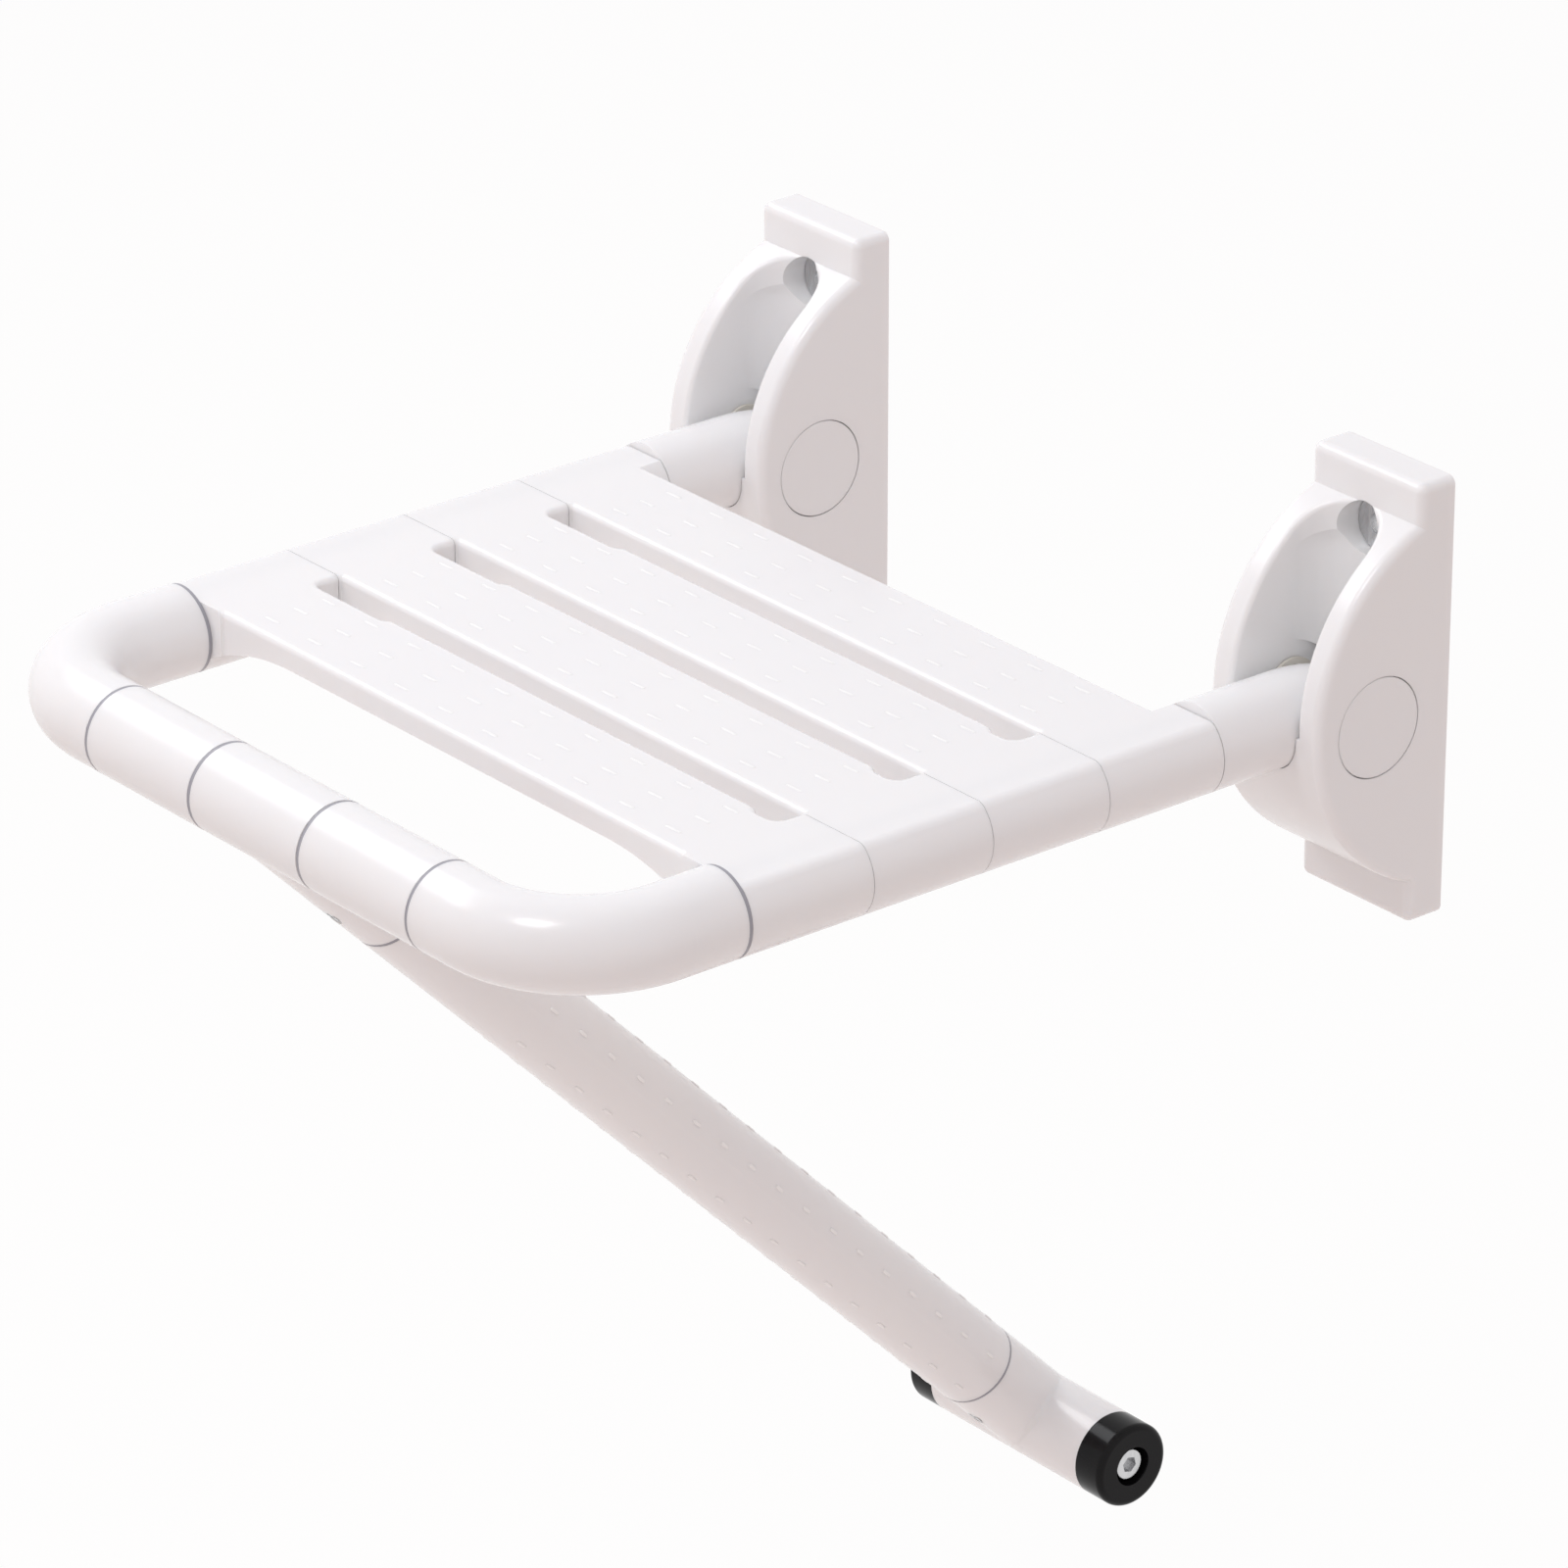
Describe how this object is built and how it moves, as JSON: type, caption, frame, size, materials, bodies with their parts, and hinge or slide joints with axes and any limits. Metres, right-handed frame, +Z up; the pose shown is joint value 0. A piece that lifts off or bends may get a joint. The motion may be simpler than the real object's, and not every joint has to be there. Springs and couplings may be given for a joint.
{
  "type": "fold down wall seat",
  "caption": "Slatted seat on a bent tube frame that hinges up against the wall between rounded housings, with a swinging support leg under the front bar.",
  "frame": {"origin": "middle of the four wall screw holes, on the wall plane", "axes": "+X along the wall to the right housing as seen from the room, +Y into the wall, +Z up; the seat reaches towards -Y"},
  "size_m": [0.379, 0.4075, 0.4728],
  "materials": {
    "white_nylon": "satin to gloss moulded nylon",
    "ring_grey": "satin",
    "bush_plastic": "natural acetal",
    "black_rubber": "smooth moulded rubber",
    "stainless": "brushed",
    "spring_steel": "plain",
    "bar_aluminium": "turned"
  },
  "bodies": {
    "wall_mounts": {"wall_housing_left": "white_nylon", "wall_yoke_left": "stainless", "hinge_pin_left": "stainless", "retaining_clip_left": "spring_steel", "pin_covers_left": "white_nylon", "wall_housing_right": "white_nylon", "wall_yoke_right": "stainless", "hinge_pin_right": "stainless", "retaining_clip_right": "spring_steel", "pin_covers_right": "white_nylon"},
    "seat": {"frame_core_tube": "stainless", "seam_rings": "ring_grey", "slat_screws": "stainless", "arm_end_left": "white_nylon", "pivot_sleeve_left": "stainless", "pivot_bushes_left": "bush_plastic", "corner_elbow_left": "white_nylon", "front_sleeve_left": "white_nylon", "arm_end_right": "white_nylon", "pivot_sleeve_right": "stainless", "pivot_bushes_right": "bush_plastic", "corner_elbow_right": "white_nylon", "front_sleeve_right": "white_nylon", "seat_slat_1": "white_nylon", "seat_slat_2": "white_nylon", "seat_slat_3": "white_nylon", "seat_slat_4": "white_nylon"},
    "leg": {"leg_hub": "white_nylon", "hub_bushes": "bush_plastic", "leg_core_tube": "stainless", "leg_sleeve": "white_nylon", "leg_rings": "ring_grey", "leg_foot": "white_nylon", "leg_screws": "stainless", "foot_cross_bar": "bar_aluminium", "foot_cap_bolts": "stainless", "foot_cap_left": "black_rubber", "foot_cap_right": "black_rubber"}
  },
  "joints": [
    {"name": "seat_fold", "type": "hinge", "parent": "wall_mounts", "child": "seat", "pos_m": [0, -0.0345, -0.031], "axis": [-1, 0, 0], "range_deg": [0, 90]},
    {"name": "leg_fold", "type": "hinge", "parent": "seat", "child": "leg", "pos_m": [0, -0.39, -0.031], "axis": [-1, 0, 0], "range_deg": [-33, 50]}
  ]
}
